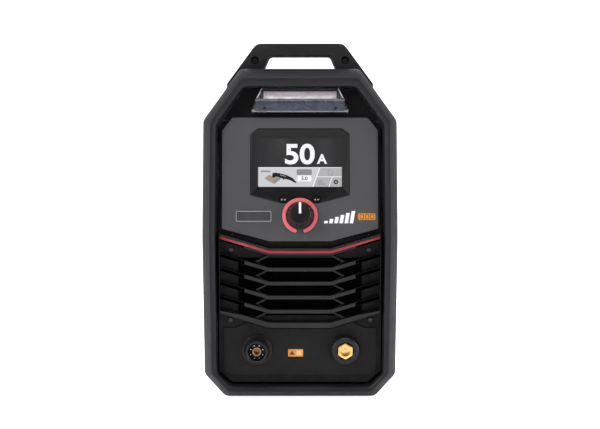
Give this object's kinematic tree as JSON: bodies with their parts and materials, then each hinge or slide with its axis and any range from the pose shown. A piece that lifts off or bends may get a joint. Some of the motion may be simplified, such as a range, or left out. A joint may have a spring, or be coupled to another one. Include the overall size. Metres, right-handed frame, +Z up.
{
  "type": "plasma cutter unit",
  "caption": "Portable inverter plasma cutter: octagonal front with hinged storage cover, colour display, selector knob, louvred grille, torch and work sockets, and carrying handles.",
  "frame": {"origin": "on the floor, under the middle of the unit's box", "axes": "+Z up, the front faces -Y, +X to the right seen from the front, depth along Y"},
  "size_m": [0.2532, 0.5223, 0.4639],
  "materials": {
    "black_plastic": "satin textured moulding",
    "panel_grey": "fine textured",
    "dark_plastic": "matt",
    "clear_cover": "clear moulding, slightly smoky",
    "chart_paper": "printed card",
    "screen": "gloss",
    "red_light": "translucent light pipe",
    "red_paint": "painted line",
    "white_inlay": "satin",
    "rubber": "matt",
    "zinc_steel": "zinc plated",
    "case_paint": "powder coat",
    "brass": "machined",
    "copper": "bare copper",
    "aluminium": "extruded",
    "circuit_board": "solder resist",
    "ferrite": "matt",
    "capacitor_sleeve": "heat shrink sleeve"
  },
  "bodies": {
    "root": {"front_frame": "black_plastic", "front_handle": "black_plastic", "rear_frame": "black_plastic", "rear_handle": "black_plastic", "louvre_grille": "black_plastic", "torch_socket_shell": "black_plastic", "work_socket_shell": "black_plastic", "fan_guard": "black_plastic", "switch_body": "black_plastic", "gland_body": "black_plastic", "gland_nut": "black_plastic", "control_panel": "panel_grey", "display_bezel": "dark_plastic", "storage_tray": "dark_plastic", "connector_panel": "dark_plastic", "upper_carrier": "dark_plastic", "lower_carrier": "dark_plastic", "encoder_body": "dark_plastic", "fan_housing": "dark_plastic", "torch_pin_carrier": "dark_plastic", "filter_bowl": "clear_cover", "display_module": "screen", "light_ring": "red_light", "accent_stripe": "red_paint", "rubber_pad_1": "rubber", "rubber_pad_2": "rubber", "rubber_pad_3": "rubber", "rubber_pad_4": "rubber", "front_handle_screw_left": "zinc_steel", "front_handle_screw_right": "zinc_steel", "rear_handle_screw_left": "zinc_steel", "rear_handle_screw_right": "zinc_steel", "grille_screw_1": "zinc_steel", "grille_screw_2": "zinc_steel", "grille_screw_3": "zinc_steel", "grille_screw_4": "zinc_steel", "lid_hinge_pin": "zinc_steel", "base_tray": "zinc_steel", "inner_shelf": "zinc_steel", "casing_cover": "case_paint", "rear_panel": "case_paint", "work_socket_insert": "brass", "air_inlet": "brass", "air_valve": "brass", "torch_contact": "copper", "transformer_coil": "copper", "output_choke": "copper", "heatsink": "aluminium", "control_board": "circuit_board", "power_board": "circuit_board", "transformer_core": "ferrite", "capacitor_left": "capacitor_sleeve", "capacitor_right": "capacitor_sleeve"},
    "storage_lid": {"storage_lid": "clear_cover", "chart_card": "chart_paper"},
    "encoder_shaft": {"encoder_shaft": "zinc_steel"},
    "knob": {"control_knob": "dark_plastic", "knob_pointer": "white_inlay"},
    "fan_rotor": {"fan_rotor": "dark_plastic"},
    "switch_handle": {"switch_handle": "dark_plastic"}
  },
  "joints": [
    {"name": "lid_hinge", "type": "hinge", "parent": "root", "child": "storage_lid", "pos_m": [0, -0.21936, 0.37322], "axis": [1, 0, 0], "range_deg": [0, 60]},
    {"name": "knob_push", "type": "slide", "parent": "root", "child": "encoder_shaft", "axis": [0, 0.9925, -0.1219], "range_m": [0, 0.001], "stiffness_N_per_m": 1500, "springref_m": -0.0008},
    {"name": "knob_turn", "type": "hinge", "parent": "encoder_shaft", "child": "knob", "pos_m": [0, -0.23962, 0.23694], "axis": [0, -0.9925, 0.1219], "continuous": true},
    {"name": "fan_spin", "type": "hinge", "parent": "root", "child": "fan_rotor", "pos_m": [0, 0.226, 0.2834], "axis": [0, 1, 0], "continuous": true},
    {"name": "switch_turn", "type": "hinge", "parent": "root", "child": "switch_handle", "pos_m": [-0.055, 0.245, 0.1534], "axis": [0, 1, 0], "range_deg": [0, 90]}
  ]
}
